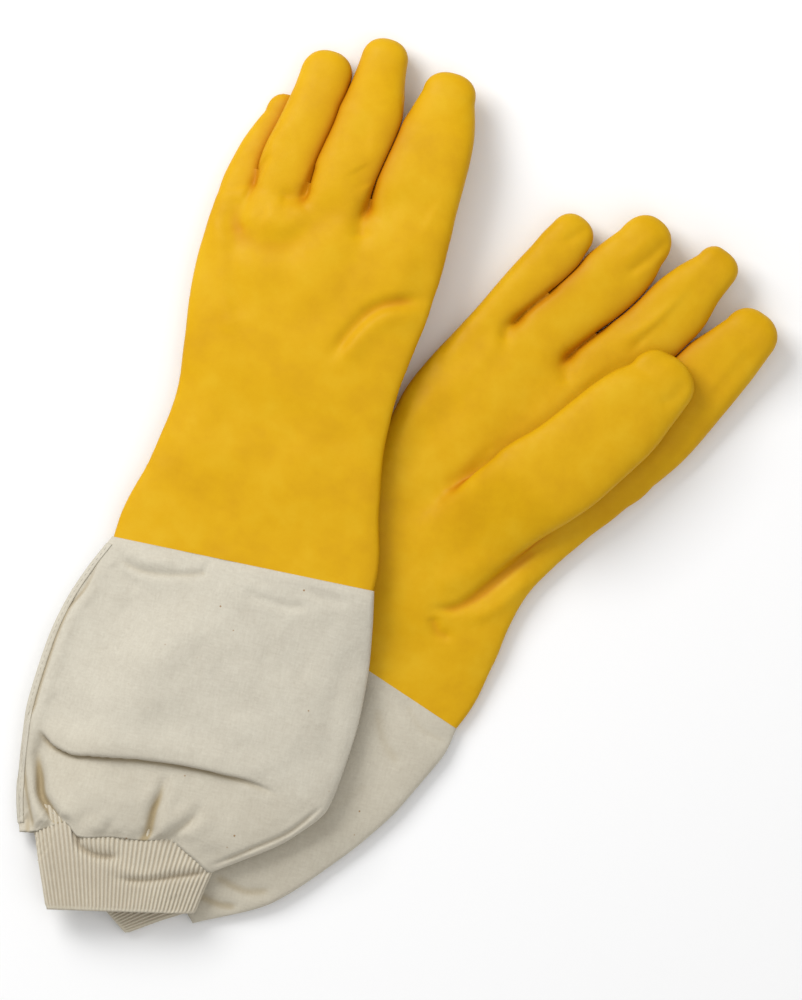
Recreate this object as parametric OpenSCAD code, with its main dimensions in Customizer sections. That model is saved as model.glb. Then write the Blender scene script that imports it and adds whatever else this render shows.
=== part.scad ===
// A pair of long beekeeping gloves, laid flat as they come out of the packet.
// Each glove is a dipped rubber hand with a canvas sleeve sewn to its gauntlet and a knitted rib
// cuff that closes round the upper arm. The right glove lies palm up with its thumb over the palm.
// The left glove lies on it, back up, with its thumb folded under the palm.
// Millimetres, +Z up, +Y towards the left glove's fingertips.

/* [Hand] */
// Length from the sleeve seam to the tip of the middle finger
hand_length = 284; // [270:1:300]
// Width across the knuckles, laid flat
palm_width = 124; // [116:1:132]
// Wall of the dipped rubber
rubber_wall = 1.2; // [1:0.1:1.4]

/* [Sleeve] */
// Wall of the cotton canvas
canvas_wall = 0.8; // [0.6:0.1:1]
// Wall of the knitted rib
rib_wall = 1.4; // [1.2:0.1:1.6]
// Depth of the canvas turned into the rubber gauntlet and sewn there
turning_depth = 12; // [10:1:14]

/* [Thread] */
// Length of one stitch
stitch_length = 3; // [2.5:0.5:4]
// Thickness of the sewing thread
thread = 0.5; // [0.4:0.1:0.6]

/* [Layout] */
// Turn of the right glove, clockwise from the left one, in degrees
right_turn = 25; // [24:0.5:26]
// Lean of the left glove where it lies over the right one and over its own thumb, in degrees
left_lean = 6.5; // [6:0.1:7]
// Clearance between a part that bends and the part it bends on
gap = 0.4; // [0.3:0.1:0.6]

/* [Hidden] */

// Where the middle of the left and of the right sleeve seam lie. The origin is under the middle
// of the pair.
left_at = [-72.264, -41.13, 1.6];
right_at = [-12.364, -72.73, 0];

// The station lists below are for a hand of this length and width, and stretch with the hand.
drawn_length = 284;
drawn_width = 124;
hand_scale = [palm_width / drawn_width, hand_length / drawn_length, 1, palm_width / drawn_width, 1, 1];

// A station is one cross-section: [x, y, z of its middle, half width, half height, lean in degrees].
// Lean lifts its +X side.
right_hand = [
    [0, 0, 5.4, 69.6, 5.4, 0], [0, 14, 5.4, 69.2, 5.4, 0], [0, 45, 6.4, 61.5, 6.4, 0],
    [-0.5, 85, 7.4, 54.8, 7.4, 0], [-1, 125, 9, 60.5, 9, 0], [1, 160, 9, 63.5, 9, 0],
    [2, 191, 7.5, 58, 7.5, 0]
];
left_hand = [
    [0, 0, 16.4, 69.6, 6.2, 0], [0, 14, 16.4, 69.2, 6.2, 0], [0, 45, 17.2, 61.5, 6.6, 0],
    [-0.5, 85, 18.2, 55, 7.2, 0], [-2.5, 125, 18.8, 59.5, 8.3, 0], [-2.5, 160, 18.6, 62, 8.3, 0],
    [-3, 191, 18, 57, 7.5, 0]
];

// A digit is its stations, from inside the palm to the middle of its round tip.
right_thumb = [
    [14, 66, 6.6, 14, 5, 0], [21, 108, 20, 24, 8.2, 0], [27, 140, 27.5, 24.5, 8.3, 0],
    [31.5, 180, 27.6, 23, 8.3, 0], [36, 212, 26.9, 17.5, 7.8, 0]
];
right_index = [
    [38, 165, 9, 20, 8.5, 0], [50, 203, 8.5, 20, 8.2, 0], [54.5, 238, 9.5, 16.7, 8, 0],
    [57, 262, 15, 14.5, 7.5, 0]
];
right_middle = [
    [5, 165, 9, 16, 8.5, 0], [9, 200, 8.5, 16, 8.2, 0], [17, 234, 9.5, 16, 8, 0],
    [18.5, 274, 15, 13.5, 7.5, 0]
];
right_ring = [
    [-22, 165, 9, 15, 8.5, 0], [-24.5, 200, 8.5, 15.6, 8.2, 0], [-18.5, 237, 9.5, 15.8, 8, 0],
    [-16.3, 264, 13, 13.3, 7.5, 0]
];
right_little = [
    [-47, 165, 9, 11, 8, 0], [-50.5, 192, 8.5, 9, 8, 0], [-49.5, 218, 9.5, 10.6, 7.5, 0],
    [-48, 239, 12, 11, 7, 0]
];
left_thumb = [
    [15, 66, 16.4, 14, 4.8, 0], [22, 108, 5, 23, 6.2, 0], [27.5, 140, 2.9, 24, 6.2, 0],
    [31, 180, 2.5, 22.5, 6.2, 0], [36, 213, 1.7, 17, 6, 0]
];
left_index = [
    [30, 165, 18.6, 20, 8.1, 0], [37, 205, 18.4, 20, 8.1, 0], [39.5, 235, 17.2, 18.5, 7.4, 0],
    [40, 256, 10, 16.2, 7.2, 0]
];
left_middle = [
    [-2, 165, 18.6, 16, 8.1, 0], [-1.5, 205, 17.8, 15.8, 8.1, 0], [2.5, 240, 12, 15.6, 8, 0],
    [2.5, 268, 7.4, 15.2, 7.8, 0]
];
left_ring = [
    [-26, 165, 18.6, 15, 8, 0], [-31.6, 203, 19.2, 13.2, 8, 0], [-29.5, 230, 21, 13.6, 7.4, 0],
    [-26.6, 255, 17, 12.9, 7.4, 0]
];
left_little = [
    [-50, 165, 18.4, 10.5, 7.4, 0], [-56.5, 194, 14.8, 8, 6, 0], [-54.5, 213, 10.6, 9.2, 4.8, 0],
    [-50, 231, 9.2, 9.8, 4.8, 0]
];

// The station of each digit at which it bends: the right fingers at the middle knuckle, past the
// thumb that lies over their roots, and the others at the root.
thumb_bend = 2;
right_bend = 2;
left_bend = 1;

left_sleeve = [
    [0, 0, 16.4, 70, 6.2, 0], [0, -8, 16.4, 73.5, 6.4, 0], [-4, -34, 19, 80.5, 6.6, -2],
    [-4.5, -65, 19.2, 84, 7, -4.5], [-6, -100, 18.6, 84, 7.6, -6.5], [-14, -130, 18.8, 74, 7.4, -6.5],
    [-18, -146, 19, 65, 6.8, -6.5], [-22, -156, 18.8, 56, 6, -6.5], [-24, -162, 18.6, 51, 5.6, -6.5]
];
left_cuff = [
    [-25.4, -148.5, 18.6, 48, 4.6, -6.5], [-19.6, -172, 18.2, 44, 4.6, -6.5],
    [-14.9, -191.5, 17.7, 39.5, 4.6, -6.5]
];
right_sleeve = [
    [0, 0, 5.4, 70, 5.4, 0], [0, -8, 5.4, 72, 5.4, 0], [-2, -40, 5.6, 77.5, 5.6, 0],
    [-6, -88, 5.6, 73, 5.6, 0], [-10, -118, 5.6, 64, 5.6, 0], [-13, -129, 5.6, 56, 5.6, 0],
    [-17, -138, 5.6, 50, 5.6, 0]
];
right_cuff = [
    [-15.9, -135.5, 5.6, 48, 4.6, 0], [-22, -149.3, 5.6, 43.5, 4.8, 0], [-28.6, -164.2, 5.6, 38.5, 5, 0]
];

rubber = "goldenrod";
canvas = "antiquewhite";
rib = "cornsilk";
cotton_thread = "ivory";

section_sides = 24;
digit_sides = 16;
squareness = 0.8;     // 1 is an ellipse, and less is a flatter, squarer cross-section
steps = 2;            // sections from one station to the next
tip_turns = [25, 48, 68, 82];
far = 400;

// A smooth run of stations through the given ones, with no bulge past any of them.
function slope(back, on) = back * on > 0 ? 2 * back * on / (back + on) : 0;
function slopes(keys, i) = let (last = len(keys) - 1)
    i == 0 ? keys[1] - keys[0] : i == last ? keys[last] - keys[last - 1] :
    [for (n = [0 : 5]) slope(keys[i][n] - keys[i - 1][n], keys[i + 1][n] - keys[i][n])];
function between(keys, i, t) =
    keys[i] * (1 - t) * (1 - t) * (1 + 2 * t) + keys[i + 1] * t * t * (3 - 2 * t)
    + slopes(keys, i) * t * (1 - t) * (1 - t) - slopes(keys, i + 1) * t * t * (1 - t);
function smooth_run(keys) = let (last = len(keys) - 1) [
    for (i = [0 : last - 1]) for (j = [0 : steps - 1]) between(keys, i, j / steps), keys[last]
];
function stretched(keys) = [for (k = keys) [for (i = [0 : 5]) k[i] * hand_scale[i]]];
function place(station) = [station[0], station[1], station[2]];
function unit(v) = v / norm(v);
// The way a run heads at one of its sections: along its middle line, or square to the glove.
function heading(run, i, square = false) =
    let (leg = place(run[min(i + 1, len(run) - 1)]) - place(run[max(i - 1, 0)]))
    square ? [0, sign(leg[1]), 0] : unit(leg);
function signed_power(v, e) = sign(v) * pow(abs(v), e);

// The rounded end of a digit: a quarter turn of smaller and smaller sections past the last station.
function round_tip(run, wall) = let (last = run[len(run) - 1], way = heading(run, len(run) - 1)) [
    for (turn = tip_turns)
        let (at = place(last) + way * (last[3] - wall) * sin(turn))
        let (wide = wall + (last[3] - wall) * cos(turn), tall = wall + (last[4] - wall) * cos(turn))
        [at[0], at[1], at[2], wide, tall, last[5]]
];

// A point of the cross-section at one place of a run, at an angle from its +X side, grown outwards by grow.
function section_point(run, i, angle, grow, square = false) =
    let (way = heading(run, i, square), level = unit(cross(way, [0, 0, 1])))
    let (lean = run[i][5] * sign(level[0]))
    let (across = level * cos(lean) + cross(level, way) * sin(lean), up = cross(across, way))
    place(run[i])
        + across * (run[i][3] + grow) * signed_power(cos(angle), squareness)
        + up * (run[i][4] + grow) * signed_power(sin(angle), squareness);

module skin(rings) {
    sides = len(rings[0]);
    last = len(rings) - 1;
    polyhedron(
        [for (ring = rings) for (point = ring) point],
        concat(
            [[for (j = [sides - 1 : -1 : 0]) j]],
            [for (i = [0 : last - 1]) for (j = [0 : sides - 1]) for (half = [0, 1])
                let (k = (j + 1) % sides, a = i * sides, b = a + sides)
                half == 0 ? [a + j, a + k, b + k] : [a + j, b + k, b + j]],
            [[for (j = [0 : sides - 1]) last * sides + j]]
        )
    );
}
module loft(run, sides, grow = 0, square = false) {
    skin([for (i = [0 : len(run) - 1]) [
        for (j = [0 : sides - 1]) section_point(run, i, 360 * j / sides, grow, square)
    ]]);
}

// A straight run on past both ends, so that a hollow cut with it leaves the ends open.
function run_on(run, reach, square = false) =
    let (last = len(run) - 1, a = heading(run, 0, square), b = heading(run, last, square)) concat(
    [concat(place(run[0]) - a * reach, [run[0][3], run[0][4], run[0][5]])],
    run,
    [concat(place(run[last]) + b * reach, [run[last][3], run[last][4], run[last][5]])]
);
module open_tube(run, wall, inset = 0, square = false) {
    difference() {
        loft(run, section_sides, -inset, square);
        loft(run_on(run, 2, square), section_sides, -inset - wall, square);
    }
}

function digit_run(keys, wall) = let (run = smooth_run(stretched(keys))) concat(run, round_tip(run, wall));
function part_run(run, from, to) = [for (i = [from : to]) run[i]];
// The free end of a digit, from one station before it bends, and its root, to one station past.
module free_end(keys, bend, grow) {
    run = digit_run(keys, -grow);
    loft(part_run(run, (bend - 1) * steps, len(run) - 1), digit_sides, grow);
}
module root_end(keys, bend, grow) {
    loft(part_run(digit_run(keys, -grow), 0, (bend + 1) * steps), digit_sides, grow);
}
// Everything past the upright plane across a digit at its bending station, moved on by shift.
module past_bend(keys, bend, shift) {
    drawn = stretched(keys);
    way = place(drawn[bend + 1]) - place(drawn[bend - 1]);
    translate([drawn[bend][0], drawn[bend][1], 0])
        rotate([0, 0, atan2(way[1], way[0]) - 90])
            translate([-far / 2, shift, -far / 2])
                cube([far, far, far]);
}
module digit(keys, bend) {
    intersection() {
        difference() {
            free_end(keys, bend, 0);
            free_end(keys, bend, -rubber_wall);
        }
        past_bend(keys, bend, gap / 2);
    }
}
module digit_stub(keys, bend) {
    difference() {
        root_end(keys, bend, 0);
        past_bend(keys, bend, -gap / 2);
    }
}
// The gauntlet, the palm and the roots of the digits, open at the sleeve seam and at each digit.
module hand_shell(hand, digits, bends) {
    run = smooth_run(stretched(hand));
    difference() {
        union() {
            loft(run, section_sides, 0, true);
            for (i = [0 : len(digits) - 1]) digit_stub(digits[i], bends[i]);
        }
        loft(concat([run_on(run, 2, true)[0]], run), section_sides, -rubber_wall, true);
        for (i = [0 : len(digits) - 1]) root_end(digits[i], bends[i], -rubber_wall);
    }
}

// The end of the canvas, turned into the gauntlet and sewn to the inside of the rubber.
turning_fit = 0.2;
function gauntlet_end(hand) = let (run = smooth_run(stretched(hand)))
    [for (t = [0, 0.5, 1]) run[0] + (run[1] - run[0]) * t * turning_depth / (run[1][1] - run[0][1])];
module seam_turning(hand) {
    open_tube(gauntlet_end(hand), canvas_wall, rubber_wall + turning_fit);
}

// One stitch, a short straight bar from here towards there.
module stitch(here, there) {
    lean = there - here;
    translate(here)
        rotate([0, -atan2(lean[2], norm([lean[0], lean[1]])), atan2(lean[1], lean[0])])
            cube([stitch_length, thread, thread], center = true);
}
// Stitches in a line inside one cross-section, along its top and back along its underside.
stitch_free_edge = 9;
function side_angle(station, inset, x) = acos(signed_power(x / (station[3] - inset), 1 / squareness));
module stitch_ring(run, i, inset, pitch) {
    reach = run[i][3] - stitch_free_edge;
    count = floor(2 * reach / pitch);
    for (side = [1, -1])
        for (n = [0 : count]) {
            x = reach * (2 * n / count - 1);
            stitch(
                section_point(run, i, side * side_angle(run[i], inset, x), -inset),
                section_point(run, i, side * side_angle(run[i], inset, x + 1), -inset)
            );
        }
}
thread_clear = 0.6;
seam_stitch_pitch = 8;
module seam_stitches(hand) {
    inset = rubber_wall + turning_fit + canvas_wall + thread_clear;
    stitch_ring(gauntlet_end(hand), 1, inset, seam_stitch_pitch);
}
cuff_stitch_pitch = 6;
module cuff_stitches(cuff) {
    stitch_ring(smooth_run(cuff), 1, rib_wall + thread_clear, cuff_stitch_pitch);
}

// The felled seam down the little-finger side of the sleeve, a flat strip on the canvas one
// facet wide, and its stitches.
facet = 360 / section_sides;
seam_fit = 0.5;
module side_seam(sleeve, square) {
    run = smooth_run(sleeve);
    translate([0, -gap, 0])
        skin([for (i = [0 : len(run) - 2]) [
            section_point(run, i, facet, seam_fit, square),
            section_point(run, i, facet, seam_fit + canvas_wall, square),
            section_point(run, i, 2 * facet, seam_fit + canvas_wall, square),
            section_point(run, i, 2 * facet, seam_fit, square)
        ]]);
}
side_stitch_pitch = 8;
module side_stitches(sleeve, square) {
    run = smooth_run(sleeve);
    line = [
        for (i = [0 : len(run) - 2]) let (grow = seam_fit + canvas_wall + thread_clear)
            (section_point(run, i, facet, grow, square)
                + section_point(run, i, 2 * facet, grow, square)) / 2
    ];
    translate([0, -gap, 0])
        for (i = [0 : len(line) - 2]) {
            leg = line[i + 1] - line[i];
            count = floor(norm(leg) / side_stitch_pitch);
            if (count > 0)
                for (j = [0 : count - 1]) stitch(line[i] + leg * (j + 0.5) / count, line[i + 1]);
        }
}

module right_glove() {
    translate(right_at) rotate([0, 0, -right_turn]) children();
}
module left_glove() {
    translate(left_at) rotate([0, -left_lean, 0]) children();
}
// The canvas stands off the rubber's edge by the clearance, because it folds there.
module sleeve_tube(sleeve, square) {
    translate([0, -gap, 0]) open_tube(smooth_run(sleeve), canvas_wall, 0, square);
}

right_digits = [right_thumb, right_index, right_middle, right_ring, right_little];
right_bends = [thumb_bend, right_bend, right_bend, right_bend, right_bend];
left_digits = [left_thumb, left_index, left_middle, left_ring, left_little];
left_bends = [thumb_bend, left_bend, left_bend, left_bend, left_bend];

module right_hand_shell() {
    color(rubber) right_glove() hand_shell(right_hand, right_digits, right_bends);
}
module right_thumb() {
    color(rubber) right_glove() digit(right_thumb, thumb_bend);
}
module right_index_finger() {
    color(rubber) right_glove() digit(right_index, right_bend);
}
module right_middle_finger() {
    color(rubber) right_glove() digit(right_middle, right_bend);
}
module right_ring_finger() {
    color(rubber) right_glove() digit(right_ring, right_bend);
}
module right_little_finger() {
    color(rubber) right_glove() digit(right_little, right_bend);
}
module right_seam_turning() {
    color(canvas) right_glove() seam_turning(right_hand);
}
module right_seam_stitches() {
    color(cotton_thread) right_glove() seam_stitches(right_hand);
}
module right_canvas_sleeve() {
    color(canvas) right_glove() sleeve_tube(right_sleeve, false);
}
module right_side_seam() {
    color(canvas) right_glove() side_seam(right_sleeve, false);
}
module right_side_stitches() {
    color(cotton_thread) right_glove() side_stitches(right_sleeve, false);
}
module right_rib_cuff() {
    color(rib) right_glove() open_tube(smooth_run(right_cuff), rib_wall);
}
module right_cuff_stitches() {
    color(cotton_thread) right_glove() cuff_stitches(right_cuff);
}
module left_hand_shell() {
    color(rubber) left_glove() hand_shell(left_hand, left_digits, left_bends);
}
module left_thumb() {
    color(rubber) left_glove() digit(left_thumb, thumb_bend);
}
module left_index_finger() {
    color(rubber) left_glove() digit(left_index, left_bend);
}
module left_middle_finger() {
    color(rubber) left_glove() digit(left_middle, left_bend);
}
module left_ring_finger() {
    color(rubber) left_glove() digit(left_ring, left_bend);
}
module left_little_finger() {
    color(rubber) left_glove() digit(left_little, left_bend);
}
module left_seam_turning() {
    color(canvas) left_glove() seam_turning(left_hand);
}
module left_seam_stitches() {
    color(cotton_thread) left_glove() seam_stitches(left_hand);
}
module left_canvas_sleeve() {
    color(canvas) left_glove() sleeve_tube(left_sleeve, true);
}
module left_side_seam() {
    color(canvas) left_glove() side_seam(left_sleeve, true);
}
module left_side_stitches() {
    color(cotton_thread) left_glove() side_stitches(left_sleeve, true);
}
module left_rib_cuff() {
    color(rib) left_glove() open_tube(smooth_run(left_cuff), rib_wall);
}
module left_cuff_stitches() {
    color(cotton_thread) left_glove() cuff_stitches(left_cuff);
}

right_hand_shell();
right_thumb();
right_index_finger();
right_middle_finger();
right_ring_finger();
right_little_finger();
right_seam_turning();
right_seam_stitches();
right_canvas_sleeve();
right_side_seam();
right_side_stitches();
right_rib_cuff();
right_cuff_stitches();
left_hand_shell();
left_thumb();
left_index_finger();
left_middle_finger();
left_ring_finger();
left_little_finger();
left_seam_turning();
left_seam_stitches();
left_canvas_sleeve();
left_side_seam();
left_side_stitches();
left_rib_cuff();
left_cuff_stitches();
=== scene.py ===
"""The looks of a pair of beekeeping gloves: dipped rubber hands, canvas sleeves and knitted rib cuffs.

Each glove is drawn in its own plan, in millimetres: x across, from the little finger to the thumb side,
y from the sleeve seam towards the fingertips, and z up. A glove's seam in the CAD part says where its plan
lies. The right glove lies palm up, underneath, and the left one lies back up, on top of it.
"""

import math

import bpy
import numpy as np
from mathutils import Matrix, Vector


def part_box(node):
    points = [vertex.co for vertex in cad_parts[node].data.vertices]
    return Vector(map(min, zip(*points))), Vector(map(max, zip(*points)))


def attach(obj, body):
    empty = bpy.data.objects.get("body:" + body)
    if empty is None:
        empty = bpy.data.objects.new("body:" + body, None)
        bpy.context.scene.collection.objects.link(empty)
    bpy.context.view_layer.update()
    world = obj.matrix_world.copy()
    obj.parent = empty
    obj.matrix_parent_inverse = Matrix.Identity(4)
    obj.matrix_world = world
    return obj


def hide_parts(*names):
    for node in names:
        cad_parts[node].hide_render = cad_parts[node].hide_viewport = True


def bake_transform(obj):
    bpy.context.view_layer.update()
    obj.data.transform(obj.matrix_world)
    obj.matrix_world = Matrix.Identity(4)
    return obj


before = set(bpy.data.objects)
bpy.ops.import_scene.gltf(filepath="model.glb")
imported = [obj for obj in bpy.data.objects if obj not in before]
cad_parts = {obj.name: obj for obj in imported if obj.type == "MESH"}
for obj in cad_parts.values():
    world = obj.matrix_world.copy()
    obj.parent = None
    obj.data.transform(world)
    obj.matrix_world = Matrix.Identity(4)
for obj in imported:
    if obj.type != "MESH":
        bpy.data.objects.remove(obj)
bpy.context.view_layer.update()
MM = 0.001
OFF_FLOOR = 0.05  # nothing is lower than this, in millimetres


# ------------ curves
def curve(xs, vs):
    """A smooth curve over rising xs that never overshoots a point, and stays level past both ends."""
    xs, vs = np.asarray(xs, float), np.asarray(vs, float)
    step = np.diff(xs)
    rise = np.diff(vs) / step
    slope = np.zeros_like(vs)
    slope[0], slope[-1] = rise[0], rise[-1]
    for i in range(1, len(rise)):
        if rise[i - 1] * rise[i] > 0:
            w1, w2 = 2 * step[i] + step[i - 1], step[i] + 2 * step[i - 1]
            slope[i] = (w1 + w2) / (w1 / rise[i - 1] + w2 / rise[i])

    def at(x):
        x = np.clip(x, xs[0], xs[-1])
        i = np.clip(np.searchsorted(xs, x, side="right") - 1, 0, len(step) - 1)
        t = (x - xs[i]) / step[i]
        t2, t3 = t * t, t * t * t
        start = vs[i] * (2 * t3 - 3 * t2 + 1) + step[i] * slope[i] * (t3 - 2 * t2 + t)
        return start + vs[i + 1] * (3 * t2 - 2 * t3) + step[i] * slope[i + 1] * (t3 - t2)

    return at


def by_y(stations, *columns):
    """A curve over y for each of these columns of the stations, whose y is column 1."""
    ys = [s[1] for s in stations]
    return [curve(ys, [s[c] for s in stations]) for c in columns]


def smooth(low, high, v):
    """0 up to low and 1 from high on, with a soft rise between. It falls where high is below low."""
    t = np.clip((v - low) / (high - low), 0, 1)
    return t * t * (3 - 2 * t)


def bell(v, wide):
    return np.exp(-((v / wide) ** 2))


def power(v, e):
    return np.sign(v) * np.abs(v) ** e


STEPS_PER_LEG = 6


def rounded_path(points):
    """The same path, its corners rounded off."""
    at = np.arange(len(points))
    fine = np.linspace(0, at[-1], at[-1] * STEPS_PER_LEG + 1)
    return list(zip(*(curve(at, values)(fine) for values in zip(*points))))


def path_distance(x, y, points):
    """Distance from a path of straight legs, its side (left of its way is 1) and how far along, 0 to 1."""
    best, side, along = np.full(x.shape, 1e9), np.ones(x.shape), np.zeros(x.shape)
    legs = [math.dist(a, b) for a, b in zip(points, points[1:])]
    gone = 0.0
    for (ax, ay), (bx, by), leg in zip(points, points[1:], legs):
        dx, dy = (bx - ax) / leg, (by - ay) / leg
        t = np.clip((x - ax) * dx + (y - ay) * dy, 0, leg)
        d = np.hypot(x - ax - t * dx, y - ay - t * dy)
        near = d < best
        best = np.where(near, d, best)
        side = np.where(near, np.sign(dx * (y - ay) - dy * (x - ax)), side)
        along = np.where(near, (gone + t) / sum(legs), along)
        gone += leg
    return best, side, along


def strokes(x, y, marks):
    """How deep marks press into a surface: each is a path, a depth and a width, and fades at its ends."""
    pressed = np.zeros(x.shape)
    for path, deep, wide in marks:
        d, _, along = path_distance(x, y, rounded_path(path))
        ends = smooth(0, 0.25, along + 0.08) * smooth(0, 0.25, 1.08 - along)
        pressed += deep * bell(d, wide) * ends
    return pressed


NOISE_SIZE = 64  # cells each way before the hills repeat


def value_noise(x, y, cell, seed):
    """Soft random hills about one cell across, from -1 to 1."""
    grid = np.random.RandomState(seed).uniform(-1, 1, (NOISE_SIZE, NOISE_SIZE))
    u, v = x / cell + 500, y / cell + 500
    i, j = np.floor(u).astype(int), np.floor(v).astype(int)
    s, t = smooth(0, 1, u - i), smooth(0, 1, v - j)

    def g(a, b):
        return grid[a % NOISE_SIZE, b % NOISE_SIZE]

    near = g(i, j) * (1 - s) + g(i + 1, j) * s
    far = g(i, j + 1) * (1 - s) + g(i + 1, j + 1) * s
    return near * (1 - t) + far * t


# ------------ where each glove lies
TURNING_DEPTH = 12
SEAM_REACH = 70  # how far from the seam its slant is felt


class Plan:
    """One glove's plan in the row frame: turned clockwise about Z, leaning so that its +X side is raised.
    Its seam lies at a slant to the glove: slant is how far it climbs for each millimetre of x."""

    def __init__(self, name, seam_height, turn, lean, slant):
        t, n = math.radians(turn), math.radians(lean)
        leaning = np.array([[math.cos(n), 0, -math.sin(n)], [0, 1, 0], [math.sin(n), 0, math.cos(n)]])
        turning = np.array([[math.cos(t), math.sin(t), 0], [-math.sin(t), math.cos(t), 0], [0, 0, 1]])
        self.matrix = turning @ leaning
        self.name, self.slant = name, slant
        low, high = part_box(name + "_seam_turning")
        middle = np.array((low + high) / 2) / MM
        self.origin = middle - self.matrix @ np.array([0, TURNING_DEPTH / 2, seam_height])

    def slanted(self, p):
        climb = self.slant * p[..., 0] * (1 - smooth(0, SEAM_REACH, np.abs(p[..., 1])))
        return np.stack([p[..., 0], p[..., 1] + climb, p[..., 2]], -1)

    def row(self, p):
        """Plan points as row points, both in millimetres."""
        return self.slanted(p) @ self.matrix.T + self.origin

    def plan(self, p):
        return (p - self.origin) @ self.matrix

    def metres(self, x, y, z):
        return tuple(self.row(np.array([x, y, z], float)) * MM)


LEFT_SEAM_HEIGHT, RIGHT_SEAM_HEIGHT = 16.4, 5.4
LEFT = Plan("left", LEFT_SEAM_HEIGHT, 0, 6.5, 0.056)
RIGHT = Plan("right", RIGHT_SEAM_HEIGHT, 25, 0, 0.113)


# ------------ meshes
def new_mesh(name, points_mm, faces, material, normals=None, hollow=None):
    """A smooth piece. Its last argument, from 0 to 1 at each point, is how much painted shade its material
    takes there, in creases and valleys.
    """
    mesh = bpy.data.meshes.new(name)
    mesh.from_pydata((points_mm * MM).tolist(), [], faces if isinstance(faces, list) else faces.tolist())
    mesh.polygons.foreach_set("use_smooth", [True] * len(mesh.polygons))
    if normals is not None:
        mesh.normals_split_custom_set_from_vertices(normals.tolist())
    # each point's share of painted shade, kept for the material to read
    layer = mesh.attributes.new("hollow", "FLOAT", "POINT")
    layer.data.foreach_set("value", np.zeros(len(points_mm)) if hollow is None else np.clip(hollow, 0, 1))
    mesh.materials.append(material)
    piece = bpy.data.objects.new(name, mesh)
    bpy.context.scene.collection.objects.link(piece)
    return piece


def open_edges(quads):
    """The edges that only one face has, in that face's order."""
    edges = np.concatenate([quads[:, [k, (k + 1) % 4]] for k in range(4)])
    key = np.sort(edges, axis=1)
    _, first, count = np.unique(key, axis=0, return_index=True, return_counts=True)
    return edges[first[count == 1]]


def with_wall(points, quads, normals, wall):
    """A sheet made into a closed wall: itself outside, a copy inside it, and a rim along its open edges."""
    n = len(points)
    rim = open_edges(quads)
    rim_quads = np.stack([rim[:, 1], rim[:, 0], rim[:, 0] + n, rim[:, 1] + n], axis=1)
    return (
        np.vstack([points, points - normals * wall]),
        np.vstack([quads, quads[:, ::-1] + n, rim_quads]),
        np.vstack([normals, -normals]),
    )


def grid_quads(rows, columns, closed=True):
    i, j = np.meshgrid(np.arange(rows - 1), np.arange(columns if closed else columns - 1), indexing="ij")
    k = (j + 1) % columns
    corners = [i * columns + j, i * columns + k, (i + 1) * columns + k, (i + 1) * columns + j]
    return np.stack(corners, -1).reshape(-1, 4)


def grid_normals(p, closed=True):
    """Outward normals of a grid of points (rows, columns, 3), whose columns go round its rows' way."""
    along = np.gradient(p, axis=0)
    around = round_ways(p, 1) if closed else np.gradient(p, axis=1)
    n = np.cross(around, along)
    return n / np.maximum(np.linalg.norm(n, axis=-1, keepdims=True), 1e-9)


def round_ways(p, axis=0):
    """The way on at each point of rings of points."""
    return np.roll(p, -1, axis=axis) - np.roll(p, 1, axis=axis)


def sheet_piece(name, p, wall, material, closed=True, hollow=None):
    """A walled piece from a grid of points in row millimetres."""
    rows, columns = p.shape[:2]
    normals = grid_normals(p, closed).reshape(-1, 3)
    points, quads, _ = with_wall(p.reshape(-1, 3), grid_quads(rows, columns, closed), normals, wall)
    if hollow is not None:
        hollow = np.concatenate([hollow.reshape(-1), np.zeros(rows * columns)])
    return new_mesh(name, points, quads, material, hollow=hollow)


BEAD_SIDES = 6
# a stitch's rings: how far along each is, -1 to 1, and its share of the thread's thickness
BEAD_RINGS = [(-1.0, 0.25), (-0.8, 0.8), (-0.4, 1.0), (0.4, 1.0), (0.8, 0.8), (1.0, 0.25)]
THREAD = 0.5


def stitches(name, centres, ways, ups, long):
    """A row of sewn stitches: each is a short rounded run of thread, half sunk where it lies."""
    turn = 2 * math.pi * np.arange(BEAD_SIDES) / BEAD_SIDES
    count = BEAD_SIDES * len(BEAD_RINGS)
    bead = [list(range(BEAD_SIDES))[::-1], *grid_quads(len(BEAD_RINGS), BEAD_SIDES).tolist()]
    bead.append(list(range(count - BEAD_SIDES, count)))
    rings, faces = [], []
    for c, w, u in zip(centres, ways, ups):
        w = w / np.linalg.norm(w)
        across = np.cross(w, u)
        across /= np.linalg.norm(across)
        up = np.cross(across, w)
        ring = np.outer(np.cos(turn), across) + np.outer(np.sin(turn), up)
        faces += [[len(rings) * BEAD_SIDES + k for k in face] for face in bead]
        for at, thick in BEAD_RINGS:
            sag = THREAD * 0.5 * abs(at) ** 3
            rings.append(c + w * at * long / 2 + ring * thick * THREAD / 2 - up * sag)
    return new_mesh(name, np.vstack(rings), faces, COTTON_THREAD)


# ------------ materials
def node_tree(name):
    material = bpy.data.materials.new(name)
    material.use_nodes = True
    tree = material.node_tree
    return material, tree, tree.nodes["Principled BSDF"]


def linked(tree, kind, links=(), **values):
    """A node with its inputs or settings from values, and links to it as (input, source)."""
    node = tree.nodes.new(kind)
    for key, value in values.items():
        if key in node.inputs:
            node.inputs[key].default_value = value
        else:
            setattr(node, key, value)
    for socket, source in links:
        tree.links.new(source, node.inputs[socket])
    return node


def ramp(tree, source, stops):
    node = tree.nodes.new("ShaderNodeValToRGB")
    while len(node.color_ramp.elements) < len(stops):
        node.color_ramp.elements.new(0.5)
    for element, (at, colour) in zip(node.color_ramp.elements, stops):
        element.position, element.color = at, (*colour, 1)
    tree.links.new(source, node.inputs["Fac"])
    return node.outputs["Color"]


def noise(tree, where, scale, detail=3.0, rough=0.55):
    links = [("Vector", where)]
    node = linked(tree, "ShaderNodeTexNoise", links, Scale=scale, Detail=detail, Roughness=rough)
    return node.outputs["Fac"]


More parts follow.
